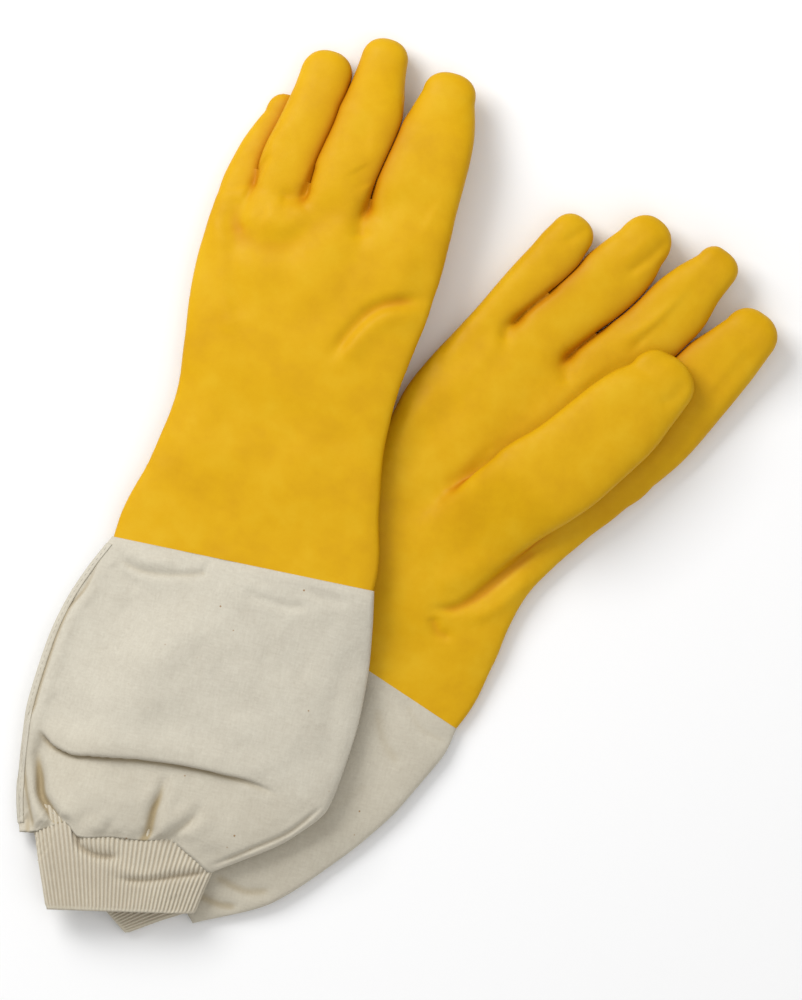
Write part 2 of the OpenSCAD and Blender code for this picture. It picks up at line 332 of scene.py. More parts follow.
def maths(tree, operation, a, b):
    """The outcome of a Math node between a, a source, and b, a source or a number."""
    node = linked(tree, "ShaderNodeMath", [(0, a)], operation=operation)
    if isinstance(b, float):
        node.inputs[1].default_value = b
    else:
        tree.links.new(b, node.inputs[1])
    return node.outputs[0]


def bump(tree, height, distance, strength, below=None):
    links = [("Height", height)] + ([("Normal", below)] if below else [])
    return linked(tree, "ShaderNodeBump", links, Distance=distance, Strength=strength).outputs["Normal"]


COLOUR_A, COLOUR_B, COLOUR_OUT = 6, 7, 2  # the colour sockets of a Mix node


def mix_colours(tree, share, below, above):
    """below where share is 0, and above, a colour, where it is 1."""
    node = linked(tree, "ShaderNodeMix", [("Factor", share)], data_type="RGBA")
    tree.links.new(below, node.inputs[COLOUR_A])
    node.inputs[COLOUR_B].default_value = (*above, 1)
    return node.outputs[COLOUR_OUT]


# how much of a material's painted shade colour to mix in: each point's painted shade share, times strength
def hollow_share(tree, strength):
    where = linked(tree, "ShaderNodeAttribute", attribute_name="hollow")
    return maths(tree, "MULTIPLY", where.outputs["Fac"], strength)


def rubber_material():
    """Dipped latex: satin, faintly mottled, with pores too small to see, and a deeper orange painted into
    its creases and valleys as shade.
    """
    material, tree, shader = node_tree("yellow_rubber")
    where = tree.nodes.new("ShaderNodeTexCoord").outputs["Object"]
    blotches = ramp(
        tree, noise(tree, where, 38, 5.0, 0.62),
        [(0.30, (0.600, 0.315, 0.0030)), (0.52, (0.650, 0.358, 0.0035)), (0.75, (0.680, 0.400, 0.010))],
    )
    # painted shade: a deep orange-brown mixed in where the points' painted shade share is high
    colour = mix_colours(tree, hollow_share(tree, 0.92), blotches, (0.50, 0.165, 0.003))
    tree.links.new(colour, shader.inputs["Base Color"])
    rough = ramp(tree, noise(tree, where, 160, 3.0), [(0.3, (0.44,) * 3), (0.7, (0.56,) * 3)])
    tree.links.new(rough, shader.inputs["Roughness"])
    shader.inputs["Specular IOR Level"].default_value = 0.11
    fine = bump(tree, noise(tree, where, 1500, 2.0), 0.0001, 0.25)
    tree.links.new(bump(tree, noise(tree, where, 150, 3.0), 0.0004, 0.3, fine), shader.inputs["Normal"])
    return material


def cotton_material(name, light, dark, crease_shade, weave, flecks=False):
    """Unbleached cotton, uneven in tone, with a thread-sized grain and, on canvas, flecks of seed husk. Its
    third colour is the painted shade put into its creases.
    """
    material, tree, shader = node_tree(name)
    where = tree.nodes.new("ShaderNodeTexCoord").outputs["Object"]
    slubs = []
    for long_way in ((1.0, 0.22, 1.0), (0.22, 1.0, 1.0)):
        stretched = linked(tree, "ShaderNodeMapping", [("Vector", where)], Scale=long_way)
        slubs.append(noise(tree, stretched.outputs["Vector"], weave, 2.0, 0.7))
    threads = maths(tree, "ADD", slubs[0], slubs[1])
    clouds = noise(tree, where, 60, 5.0, 0.62)
    mean = maths(tree, "DIVIDE", maths(tree, "ADD", clouds, threads), 3.0)
    colour = ramp(tree, mean, [(0.34, dark), (0.66, light)])
    if flecks:
        cells = linked(tree, "ShaderNodeTexVoronoi", [("Vector", where)], Scale=150.0)
        husk = ramp(tree, cells.outputs["Distance"], [(0.05, (1,) * 3), (0.10, (0,) * 3)])
        few = ramp(tree, noise(tree, where, 47, 1.0), [(0.61, (0,) * 3), (0.64, (1,) * 3)])
        colour = mix_colours(tree, maths(tree, "MULTIPLY", husk, few), colour, (0.30, 0.17, 0.07))
    # painted shade: the crease colour mixed in where the points' painted shade share is high
    colour = mix_colours(tree, hollow_share(tree, 0.8), colour, crease_shade)
    tree.links.new(colour, shader.inputs["Base Color"])
    shader.inputs["Roughness"].default_value = 0.92
    shader.inputs["Specular IOR Level"].default_value = 0.1
    shader.inputs["Sheen Weight"].default_value = 0.08
    shader.inputs["Sheen Roughness"].default_value = 0.6
    grain = bump(tree, threads, 0.0002, 0.6)
    tree.links.new(bump(tree, noise(tree, where, 330, 3.0), 0.0003, 0.4, grain), shader.inputs["Normal"])
    return material


RUBBER = rubber_material()
# each cotton's third colour is its painted crease shade
CANVAS = cotton_material(
    "cotton_canvas", (0.610, 0.572, 0.475), (0.510, 0.468, 0.382), (0.36, 0.27, 0.13), 950.0, flecks=True
)
RIB = cotton_material("cotton_rib", (0.64, 0.585, 0.47), (0.53, 0.475, 0.37), (0.29, 0.22, 0.13), 1500.0)
COTTON_THREAD = cotton_material(
    "cotton_thread", (0.64, 0.60, 0.52), (0.57, 0.53, 0.44), (0.4, 0.33, 0.2), 2200.0
)


# ------------ rubber hands
VOXEL = 1.25
RUBBER_WALL = 1.2
SECTION_POWER = 2.5
CONTACT_GAP, CONTACT_ROUND = 0.12, 1.0  # between fingers that lie against each other, and their edges there
BEND_LENGTH = 16  # the length past a digit's bend to a second point that is worked out for it
PALM_END = 16  # how far the palm's rounded end reaches past its last station

# A station is one cross-section: (x, y, z of its middle, half width, half height).
# A digit is its stations, the y at which it bends, and how far its round tip reaches past the last one.
RIGHT_HAND = [
    (0.6, -4, 5.4, 70.6, 5.4), (0.8, 8, 5.4, 70, 5.4), (1.6, 45, 6.6, 62.4, 6.6), (0.2, 68, 7.2, 57.4, 7.2),
    (-0.4, 86, 7.6, 55, 7.6), (-1.2, 106, 8.2, 57.4, 8.2), (-1.8, 126, 9, 61, 9), (0, 147, 9.1, 63.8, 9.1),
    (1.6, 163, 9.1, 64.6, 9.1), (3, 179, 8.8, 64.6, 8.8),
]
LEFT_HAND = [
    (0, -4, 16.4, 69.6, 6.2), (0, 8, 16.4, 69.2, 6.2), (0.2, 45, 17.2, 61.2, 6.8),
    (-0.6, 82, 18.2, 56.4, 7.4), (-2, 103, 18.6, 57.6, 8), (-2.6, 126, 18.8, 60.2, 8.3),
    (-2.2, 148, 18.8, 62.4, 8.3), (-1.6, 166, 18.5, 62.8, 8), (-1.1, 180, 18.2, 62.4, 7.8),
]
RIGHT_DIGITS = {
    "thumb": ([
        (12, 60, 6, 15, 5), (14, 82, 10, 21, 6.5), (15.4, 106, 18, 24.8, 8),
        (21.5, 132, 27, 27, 7.6), (28, 158, 28.4, 25, 7.8), (32, 182, 27.6, 23.7, 8.1),
        (34.8, 205, 27, 20.4, 8), (36.4, 213, 26.6, 18.2, 7.6),
    ], 140, 16.5),
    "index": ([
        (46, 170, 8.6, 22.4, 7.8), (50, 190, 8.8, 21.8, 8.3), (51.6, 205, 9, 20.8, 8.4),
        (53, 238, 10.5, 19, 8.2), (54.8, 250, 12.5, 17, 8), (56, 262, 15, 14.8, 7.5),
    ], 238, 14.5),
    "middle": ([
        (6, 160, 9, 16, 8.6), (10.4, 197, 9, 19.4, 8.6), (17, 234, 10.5, 18.2, 8.2),
        (18.3, 250, 12.5, 17.4, 8), (18.6, 265, 15, 14.6, 7.6), (20.6, 278, 16, 11.8, 7.2),
    ], 234, 11),
    "ring": ([
        (-24, 160, 9, 16, 8.6), (-25.6, 194, 9, 17.4, 8.6), (-18, 237, 10.5, 18.2, 8.2),
        (-16.8, 251, 12, 16.8, 7.8), (-16.6, 262, 13.5, 14.3, 7.5),
    ], 237, 16.5),
    "little": ([
        (-50, 166, 9, 12.6, 8), (-51, 190, 9.2, 11, 8), (-48.4, 214, 10, 13, 7.8),
        (-47.4, 232, 11, 13.3, 7.5), (-48.2, 242, 12, 11.8, 7.2),
    ], 218, 12.5),
}
LEFT_DIGITS = {
    "thumb": ([
        (15, 62, 15, 14, 5), (20, 90, 8, 20, 6), (24, 114, 4.2, 24, 6.4), (27.5, 140, 2.6, 24, 6),
        (31, 180, 2.5, 22.5, 6.4), (36, 210, 1.9, 17, 6),
    ], 140, 16),
    "index": ([
        (38, 170, 18.4, 23.4, 7.5), (38.8, 190, 18.6, 22.6, 8.1), (37.4, 205, 18.6, 23.4, 8.4),
        (39.7, 240, 16.8, 20.2, 8.2), (40.2, 252, 14, 17.2, 7.8), (40.2, 262, 12.2, 14.4, 7.4),
    ], 205, 13),
    "middle": ([
        (-2, 164, 18.8, 15, 8), (-0.7, 205, 19.8, 17.8, 8.8), (3.7, 240, 17.6, 17.7, 8.8),
        (3.9, 252, 15, 15.6, 8.4), (3, 264, 11.4, 13.2, 7.9), (2.6, 271, 9.8, 12.4, 7.6),
    ], 205, 12.5),
    "ring": ([
        (-30, 164, 17.8, 14, 8), (-30.3, 203, 17.4, 15.8, 8.3), (-25.7, 236, 16, 15.2, 8.1),
        (-24.4, 249, 14.4, 14.5, 7.8), (-24.6, 255, 13.6, 13.8, 7.5),
    ], 203, 14.5),
    "little": ([
        (-52, 167, 17.6, 12, 7), (-52.4, 187, 15.4, 10.8, 6.4), (-49, 208, 11.4, 10.8, 5.4),
        (-43.6, 226, 8.8, 10.2, 5), (-41.4, 231, 8.2, 10, 4.9),
    ], 194, 11.5),
}
# A crease in the top of the rubber: its path, how deep it is and how wide. A depth below 0 is a ridge.
LEFT_CREASES = [
    ([(18.5, 117), (25, 133), (34, 146), (54, 156)], 2.6, 3.4),
    ([(24, 116), (31, 130), (40, 141), (56, 148)], -1.2, 6.0),
    ([(-52, 177), (-48, 168), (-34, 161), (-18, 168), (-4, 184), (6, 198)], 1.4, 8.0),
    ([(-49, 183), (-50, 174), (-46, 165)], 1.0, 4.5),
    ([(-36, 178), (-24, 176), (-14, 186)], -1.2, 7.0),
    ([(-17, 199), (-20, 192), (-30, 189)], 1.8, 4.0),
    ([(15, 199), (14, 188), (17, 178)], 1.8, 4.5),
    ([(24, 196), (36, 202), (50, 199)], 1.2, 8.5),
    ([(6, 214), (14, 206)], 1.2, 6.0),
    ([(-8, 226), (9, 231)], 0.7, 7.0),
    ([(-40, 214), (-30, 218)], 0.6, 6.0),
    ([(-38, 70), (5, 78), (45, 70)], 0.8, 14.0),
    ([(-56, 170), (-51, 150), (-42, 128), (-36, 112)], -1.1, 5.0),
    ([(-50, 160), (-44, 140), (-35, 120)], 0.8, 7.0),
    ([(-58, 40), (-52, 66), (-50, 92)], 0.6, 8.0),
    ([(52, 20), (44, 52), (38, 84)], 0.5, 9.0),
    ([(-19, 190), (-17.5, 199), (-15.5, 210)], 1.5, 1.5),
    ([(14.5, 188), (15.5, 199), (17.5, 210)], 1.5, 1.5),
    ([(-47.5, 182), (-45, 196), (-41.5, 208)], 1.6, 1.6),
]
RIGHT_CREASES = [
    ([(-40, 196), (-43, 186), (-39, 178)], 1.5, 3.2),
    ([(-9, 199), (-7, 189), (0, 182)], 1.6, 4.0),
    ([(31, 233), (27, 217), (14, 205)], 1.0, 4.5),
    ([(14, 216), (21, 240), (26, 262), (29, 282)], 1.7, 3.0),
    ([(7, 218), (15, 242), (20, 264), (22, 284)], -0.9, 3.2),
    ([(-13, 246), (-9, 262), (-8, 274)], 1.2, 2.4),
    ([(-19, 250), (-15, 274)], -0.6, 3.0),
    ([(-48, 238), (-44, 252)], 0.8, 2.4),
    ([(62, 222), (63, 258)], 0.8, 4.0),
    ([(43, 205), (47, 213), (46, 222)], 0.8, 3.2),
    ([(-44, 92), (-50, 115), (-50, 140)], -1.2, 7.0),
    ([(-34, 90), (-38, 115), (-36, 142)], 0.8, 8.0),
    ([(22, 48), (30, 55), (35.5, 70), (38.5, 88), (42.5, 106)], 2.3, 2.7),
    ([(34, 62), (38, 84), (45, 112), (52, 140)], 1.2, 4.0),
    ([(14, 58), (22, 70), (27, 90)], -1.0, 7.0),
    ([(24, 44), (32, 39), (38, 42)], 1.5, 3.0),
    ([(40, 56), (47, 72), (50, 92)], -1.2, 4.0),
    ([(-20, 40), (10, 28), (40, 22)], 0.6, 12.0),
    ([(-14, 100), (-8, 118), (-6, 134)], 1.6, 4.5),
    ([(-24, 70), (-20, 84), (-16, 98)], 0.9, 7.0),
    ([(-42.5, 187), (-40.5, 200), (-38, 211), (-36, 220)], 2.0, 1.4),
    ([(-9.5, 188), (-7.8, 200), (-5.4, 211), (-3, 221)], 2.0, 1.4),
]


START_REACH = 26  # how long the rounded start of a digit is, inside the hand
CAP_POWER = 2.3
LEAST_STEEPNESS = 0.004


def tube_level(x, y, z, stations, reach, start_reach=None):
    """1 on the surface of a flattened tube with round ends, less inside it and more outside."""
    middle_x, middle_z, wide, tall = (at(y) for at in by_y(stations, 0, 2, 3, 4))
    across, upward = np.abs((x - middle_x) / wide), np.abs((z - middle_z) / tall)
    level = (across**SECTION_POWER + upward**SECTION_POWER) ** (1 / SECTION_POWER)
    past = np.clip(y - stations[-1][1], 0, None) / reach
    if start_reach:
        past = past + np.clip(stations[0][1] - y, 0, None) / start_reach
    return (level**CAP_POWER + past**CAP_POWER) ** (1 / CAP_POWER)


def distance(level):
    """The same surface as a signed distance, good near the surface."""
    steep = np.sqrt(sum(g * g for g in np.gradient(level, VOXEL)))
    return (level - 1) / np.maximum(steep, LEAST_STEEPNESS)


def soft_union(a, b, k):
    k = np.maximum(k, 1e-6)
    h = np.clip(0.5 + 0.5 * (b - a) / k, 0, 1)
    return b * (1 - h) + a * h - k * h * (1 - h)


def pressed_against(a, b):
    """a with its side flattened where it meets b, half the overlap each."""
    flat = (a - b) / 2 + CONTACT_GAP
    return -soft_union(-a, -flat, CONTACT_ROUND)


def surface_net(field, start):
    """Quads over the field's zero level: one vertex a lattice cell, so equal fields give equal vertices."""
    inside = field < 0
    cells = tuple(n - 1 for n in field.shape)
    total, count = np.zeros(cells + (3,)), np.zeros(cells)
    for axis in range(3):
        others = [a for a in range(3) if a != axis]
        for u in (0, 1):
            for v in (0, 1):
                corner = [0, 0, 0]
                corner[others[0]], corner[others[1]] = u, v
                far = list(corner)
                far[axis] = 1
                low = tuple(slice(c, c + n) for c, n in zip(corner, cells))
                high = tuple(slice(c, c + n) for c, n in zip(far, cells))
                a, b = field[low], field[high]
                cut = inside[low] != inside[high]
                place = [np.where(cut, float(c), 0.0) for c in corner]
                place[axis] = np.where(cut, a / np.where(cut, a - b, 1), 0)
                total += np.stack(place, -1)
                count += cut
    live = count > 0
    number = np.full(cells, -1)
    number[live] = np.arange(live.sum())
    points = (np.argwhere(live) + total[live] / count[live][:, None]) * VOXEL + start
    quads = []
    for axis in range(3):
        u, v = [(1, 2), (2, 0), (0, 1)][axis]
        near, on = [slice(1, -1)] * 3, [slice(1, -1)] * 3
        near[axis], on[axis] = slice(0, -1), slice(1, None)
        a, b = inside[tuple(near)], inside[tuple(on)]
        at = np.argwhere(a != b)
        outward = a[tuple(at.T)]
        offset = np.ones(3, int)
        offset[axis] = 0
        ring = []
        for du, dv in ((-1, -1), (0, -1), (0, 0), (-1, 0)):
            cell = at + offset
            cell[:, u] += du
            cell[:, v] += dv
            ring.append(number[tuple(cell.T)])
        quad = np.stack(ring, 1)
        quads.append(np.where(outward[:, None], quad, quad[:, ::-1]))
    return points, np.vstack(quads)


def sample(fields, points, start):
    """The values of several lattice fields at points, one column a field."""
    at = (points - start) / VOXEL
    i = np.clip(np.floor(at).astype(int), 0, np.array(fields[0].shape) - 2)
    t = np.clip(at - i, 0, 1)
    out = np.zeros((len(points), len(fields)))
    for corner in np.ndindex(2, 2, 2):
        weight = np.prod(np.where(corner, t, 1 - t), axis=1)
        cell = tuple((i + corner).T)
        for column, field in enumerate(fields):
            out[:, column] += weight * field[cell]
    return out


def field_normals(field, points, start):
    """The field's uphill direction at each point."""
    n = sample(np.gradient(field, VOXEL), points, start)
    return n / np.maximum(np.linalg.norm(n, axis=1, keepdims=True), 1e-9)


def keep_faces(points, quads, normals, keep):
    used, back = np.unique(quads[keep], return_inverse=True)
    return points[used], back.reshape(-1, 4), normals[used]


def lattice(stations):
    """A lattice round the stations: its low corner and its x, y and z arrays. It starts at the seam."""
    margin, tip = 3 * VOXEL, 18
    x, y, z, wide, tall = np.array(stations, float).T
    low = np.array([min(x - wide) - margin, -VOXEL / 2, min(z - tall) - margin])
    high = np.array([max(x + wide), max(y) + tip, max(z + tall)]) + margin
    sizes = np.ceil((high - low) / VOXEL).astype(int) + 1
    return low, np.meshgrid(*[low[a] + VOXEL * np.arange(sizes[a]) for a in range(3)], indexing="ij")


def hand_relief(x, y, z, hand, creases):
    """How far the rubber is pressed in: creases on its top side, and soft dents all over."""
    flat_x, flat_y = x[:, :, 0], y[:, :, 0]
    pressed = strokes(flat_x, flat_y, creases)
    pressed += 0.4 * value_noise(flat_x, flat_y, 26, 3) + 0.14 * value_noise(flat_x, flat_y, 9, 4)
    middle = by_y(hand, 2)[0](y)
    under = 0.25 * value_noise(flat_x, flat_y, 21, 5)
    return pressed[:, :, None] * smooth(-2, 4, z - middle) + under[:, :, None]


THUMB_CLEARANCE = 0.4  # how far the palm and the thumb each draw back where they face each other
CLEAR_BEFORE, CLEAR_FULL = 20, 6  # the clearance starts and is full this far before the thumb's bend


def clear_thumb(relief, x, y, z, hand, thumb, bend):
    """The relief made even where the thumb lies over or under the palm, so that the two never touch."""
    thumb_x, thumb_z, wide = (at(y) for at in by_y(thumb, 0, 2, 3))
    palm_z = by_y(hand, 2)[0](y)
    side = np.sign(thumb_z - palm_z)
    between = smooth(1, -4, side * (z - thumb_z)) * smooth(-3, 1, side * (z - palm_z))
    between *= smooth(wide + 5, wide, np.abs(x - thumb_x))
    between *= smooth(bend - CLEAR_BEFORE, bend - CLEAR_FULL, y)
    return relief * (1 - between) + THUMB_CLEARANCE * between


CROTCH = (180, 194)  # between these y the painted shade in the creases between the fingers grows in
THUMB_CREASE = (80, 110)  # and between these the painted shade in the crease beside the thumb


def valley(points, fields, start):
    """Where painted shade goes: 1 in the bottom of the creases between fingers and between thumb and palm,
    and 0 elsewhere.
    """
    d = np.abs(sample(fields, points, start))
    fingers = np.sort(d[:, 2:], axis=1)
    second = fingers[:, 1]  # how far the second nearest finger is
    between = 0.38 * bell(second, 6) + 0.5 * bell(second, 2.6)
    between *= smooth(*CROTCH, points[:, 1])
    thumb = bell(d[:, 0] + d[:, 1], 3.6) * smooth(*THUMB_CREASE, points[:, 1])
    return np.maximum(between, thumb)


WEB = 8  # how softly a digit runs into the hand


def hand_pieces(plan, hand, digits, creases, fingers_from, webs_to):
    """The rubber of one glove: a piece for the hand, and one for each digit past its split line. That is
    its bend for the thumb, and fingers_from for every finger. Their webs have ended by webs_to."""
    low, (x, y, z) = lattice(hand + [s for keys, _, _ in digits.values() for s in keys])
    relief = hand_relief(x, y, z, hand, creases)
    relief = clear_thumb(relief, x, y, z, hand, *digits["thumb"][:2])
    palm = distance(tube_level(x, y, z, hand, PALM_END))
    own = {}
    for name, (keys, _, reach) in digits.items():
        own[name] = distance(tube_level(x, y, z, keys, reach, START_REACH))
    order = ["thumb", "index", "middle", "ring", "little"]
    worn = {name: field + relief for name, field in own.items()}
    shaped = dict(worn)
    for name, other in zip(order[1:], order[2:]):
        shaped[name] = pressed_against(shaped[name], worn[other])
        shaped[other] = pressed_against(shaped[other], worn[name])
    # all fingers start at one line, so that their edges meet
    split = {name: bend if name == "thumb" else fingers_from for name, (_, bend, _) in digits.items()}
    whole = palm
    inner = 1 - 0.85 * smooth(40, 56, np.abs(x))
    for name in digits:
        web = smooth(6, 50, split[name] - y) if name == "thumb" else smooth(0, 28, webs_to - y) * inner
        whole = soft_union(whole, own[name], WEB * web)
    fields = [palm] + [own[n] for n in order]

    shells = {}
    points, quads = surface_net(whole + relief, low)
    normals = field_normals(whole + relief, points, low)
    centre = points[quads].mean(1)
    owner = np.argmin(np.abs(sample([f + relief for f in fields], centre, low)), axis=1) - 1
    keep = np.ones(len(quads), bool)
    for name in digits:
        keep &= ~((centre[:, 1] > split[name]) & (owner == order.index(name)))
    shells["hand"] = keep_faces(points, quads, normals, keep)
    for name in digits:
        first = int((split[name] - low[1]) / VOXEL) - 4
        part = shaped[name][:, first:]
        start = low + np.array([0, first * VOXEL, 0])
        points, quads = surface_net(part, start)
        normals = field_normals(part, points, start)
        shells[name] = keep_faces(points, quads, normals, points[quads].mean(1)[:, 1] > split[name])

    hand_body = plan.name + "_hand"
    for name, (points, quads, normals) in shells.items():
        # painted shade: dark in the valleys between the digits and beside the thumb, and in the deeper
        # creases on top; none on the inner wall
        pressed = sample([relief], points, low)[:, 0] * smooth(0.2, 0.7, normals[:, 2])
        hollow = np.maximum(valley(points, fields, low), 0.6 * smooth(0.9, 2.9, pressed))
        hollow = np.concatenate([hollow, np.zeros(len(points))])
        points, quads, normals = with_wall(points, quads, normals, RUBBER_WALL)
        row = plan.row(points)
        row[:, 2] = np.maximum(row[:, 2], OFF_FLOOR)
        piece_name = f"{plan.name}_rubber_{name}"
        piece = new_mesh(piece_name, row, quads, RUBBER, normals @ plan.matrix.T, hollow)
        if name == "hand":
            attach(piece, hand_body)
            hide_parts(plan.name + "_hand_shell")
            continue
        keys, bend, _ = digits[name]
        bend = max(bend, split[name])
        at_x, at_z = by_y(keys, 0, 2)
        on = bend + BEND_LENGTH
        start, end = plan.metres(at_x(bend), bend, at_z(bend)), plan.metres(at_x(on), on, at_z(bend))
        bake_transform(piece)
        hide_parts(f"{plan.name}_{name}" + ("" if name == "thumb" else "_finger"))


hand_pieces(LEFT, LEFT_HAND, LEFT_DIGITS, LEFT_CREASES, fingers_from=200, webs_to=199)
hand_pieces(RIGHT, RIGHT_HAND, RIGHT_DIGITS, RIGHT_CREASES, fingers_from=212, webs_to=197)


# ------------ flattened tubes of cloth
CLOTH_POWER = 0.72


def even_turns(count, wide, tall, e=CLOTH_POWER):
    """Angles that step evenly round a flattened section."""
    fine = np.linspace(0, 2 * math.pi, 6001)
    x, z = wide * power(np.cos(fine), e), tall * power(np.sin(fine), e)
    gone = np.concatenate([[0], np.cumsum(np.hypot(np.diff(x), np.diff(z)))])
    return np.interp(np.arange(count) / count * gone[-1], gone, fine)


def turn_at(across):
    """The angle of the point that is this far across a section's upper side, from -1 to 1."""
    return np.arccos(power(np.clip(across, -1, 1), 1 / CLOTH_POWER))


class Tube:
    """A flattened tube between two edges of a plan, each a list of (x, y) from its start to its end."""

    def __init__(self, left, right):
        self.left, self.right = (
            [curve(np.linspace(0, 1, len(edge)), values) for values in zip(*edge)] for edge in (left, right)
        )

    def place(self, v, turn):
        """Across and upward, each -1 to 1, and x and y, at v of the way along and at an angle round."""
        across, upward = power(np.cos(turn), CLOTH_POWER), power(np.sin(turn), CLOTH_POWER)
        lx, ly, rx, ry = self.left[0](v), self.left[1](v), self.right[0](v), self.right[1](v)
        x, y = (lx + rx) / 2 + across * (rx - lx) / 2, (ly + ry) / 2 + across * (ry - ly) / 2
        return across, upward, x, y


# Each edge has a point at the same share of the way down the tube as the other edge's.
RIGHT_SLEEVE = Tube(
    [(-70, 0), (-74.5, -14), (-78, -34), (-79.5, -58), (-79, -80), (-74, -103), (-62, -121)],
    [(71.2, 0), (75.2, -18), (75, -43), (72, -66), (66.5, -90), (56.5, -122), (31, -158)],
)
LEFT_SLEEVE = Tube(
    [(-70, 0), (-78.5, -20), (-85.5, -43), (-89, -66), (-90.4, -96), (-88, -120), (-83, -146), (-77, -165)],
    [(70, 0), (74.5, -20), (78.5, -43), (80, -66), (79, -88), (76.5, -110), (62, -131), (25, -160)],
)
# how far up from the straight line between its ends the left sleeve's hem is pulled, across it
LEFT_HEM = curve(
    [-1, -0.86, -0.68, -0.56, -0.38, -0.04, 0.26, 0.52, 0.74, 1],
    [0, 1.8, 6.8, 10.2, 4.6, 8.0, 9.6, 12.3, 7.6, 0],
)
RIGHT_CUFF = Tube([(-60, -112), (-58.5, -146), (-54.5, -174)], [(30, -148), (18, -166), (7.3, -184.5)])
LEFT_CUFF = Tube(
    [(-77, -148), (-67, -168), (-60.5, -182), (-52.5, -200)],
    [(30, -142), (26.5, -157), (24.4, -169), (22.4, -182.5)],
)


def right_top(points):
    """Height of the right glove's upper side under row points, falling to the table past its outline."""
    p = RIGHT.plan(points)
    v = np.linspace(1, 0, 8)
    ends = [(t(v), y(v)) for t, y in (RIGHT_SLEEVE.left, RIGHT_SLEEVE.right)]
    sleeve = [((b + d) / 2, (a + c) / 2, (c - a) / 2, 11.2) for a, b, c, d in zip(*ends[0], *ends[1])]
    hand = [(s[1], s[0], s[3], s[2] + s[4]) for s in RIGHT_HAND if s[1] > 0]
    keys = sleeve[:-1] + hand
    ys = [k[0] for k in keys]
    middle, half, top = (curve(ys, values)(p[:, 1]) for values in list(zip(*keys))[1:])
    outside = np.abs(p[:, 0] - middle) - half
    past_end = np.clip(ys[0] - 22 - p[:, 1], 0, None)
    return top * (1 - smooth(-8, 20, np.hypot(np.maximum(outside, -8), past_end) * np.sign(outside + 1e-9)))


CLOTH_GAP = 0.9  # how far cloth lies off what it lies on
SPREAD = 8  # taut cloth lies on the average of what is under it, this far each way


def under_left(x, y):
    """Height of what the left glove's sleeve and cuff lie on."""
    flat = LEFT.row(np.stack([x, y, np.full(x.shape, LEFT_SEAM_HEIGHT)], -1)).reshape(-1, 3)
    offsets = [(dx, dy, 0) for dx in (-SPREAD, 0, SPREAD) for dy in (-SPREAD, 0, SPREAD)]
    return (sum(right_top(flat + np.array(o)) for o in offsets) / len(offsets)).reshape(x.shape) + CLOTH_GAP


def gathers(x, y, marks):
    """Folds that run up from the cuff and fade: each is its path, depth, width and the puff beside it."""
    out = np.zeros(x.shape)
    for path, deep, wide, puff in marks:
        d, _, along = path_distance(x, y, rounded_path(path))
        fade = smooth(0, 0.6, 1 - along)
        out += fade * (puff * bell(d - 2.4 * wide, 1.6 * wide) - deep * bell(d, wide))
    return out


LEFT_FOLD = [
    (-81, -110), (-76, -113), (-69, -116.2), (-60, -117.6), (-50, -115.8), (-37, -113.3), (-23, -110.6),
    (-8, -108.8), (10, -107.4), (28, -107.2), (40, -108.6), (54, -112),
]
LEFT_GATHERS = [
    (
        [(-53, -159), (-57, -155), (-63, -150), (-70, -143), (-73, -135), (-77.5, -122), (-78, -113)],
        5.4, 2.7, 1.6,
    ),
    ([(-12.5, -155), (-10, -146), (-10.5, -136), (-9.5, -127), (-9, -110)], 3.2, 2.4, 1.0),
    ([(-17, -156), (-14, -148), (-15, -138), (-13, -126)], 1.5, 5.0, 0.5),
    ([(0, -153), (4, -143), (8, -138), (11.5, -131), (12.5, -121)], 1.8, 2.6, 1.2),
    ([(-72, -166), (-74, -156), (-79, -143)], 2.0, 2.4, 0.5),
    ([(-45, -160), (-46, -151), (-43, -141)], 1.3, 3.6, 0.7),
    ([(14, -158), (24, -150), (38, -143)], 1.0, 4.5, 0.6),
    ([(-30, -158), (-31, -150), (-28, -143)], 1.2, 2.6, 0.5),
    ([(22, -160), (36, -153), (50, -142)], 0.9, 4.0, 0.5),
]
LEFT_SLACK = [
    ([(-64, -9), (-56.5, -13.5), (-48, -15), (-39.7, -14.5), (-29, -12.6), (-15, -9)], 1.6, 2.4),
    ([(72.5, -112), (60, -128.5), (44, -141.5), (27, -154.5)], 1.7, 1.2),
    ([(-18.5, -10.5), (-16, -2)], 0.8, 2.2),
    ([(-60, -6), (-48, -8.5), (-34, -7)], -1.0, 3.0),
    ([(-66, -14), (-58, -20), (-48, -24)], 1.0, 3.5),
    ([(4, -13), (14, -16), (28, -17), (40, -15)], 1.2, 2.6),
    ([(30, -4), (46, -9), (60, -9)], 0.8, 3.0),
    ([(-72, -22), (-64, -34), (-50, -42)], 0.9, 6.0),
    ([(-2, -34), (24, -46), (52, -48)], 0.8, 10.0),
    ([(-10, -60), (20, -72), (52, -76)], 1.1, 11.0),
    ([(-56, -52), (-30, -46), (0, -50)], 0.8, 11.0),
    ([(-30, -86), (10, -92), (50, -94)], 0.9, 9.0),
    ([(70, -30), (66, -60), (70, -90)], 0.8, 6.0),
    ([(-78, -90), (-66, -98), (-50, -100)], 0.9, 8.0),
]
# how wide the strip between the little-finger edge and the long fold beside it is, down the sleeve
STRIP = curve(
    [-165, -161, -140, -124, -109.5, -98, -75, -46, -32, -12], [8, 8, 5, 2.6, 2.6, 5, 5, 4.6, 6.6, 3]
)
# how thick each sleeve lies, from its seam to its hem
LEFT_TALL = curve([0, 0.12, 0.37, 0.6, 0.76, 0.92, 1], [12.4, 15, 17.5, 18.5, 17, 14.6, 10.8])
RIGHT_TALL = curve([0, 0.2, 0.7, 0.9, 1], [10.8, 10.8, 10.8, 10.4, 9.6])
ROLL_HIGH, ROLL_DROP, ROLL_OVER = 2, 4, 3  # the blouse's rise above its fold, drop below it and overhang
STRIP_DROP = 2.6


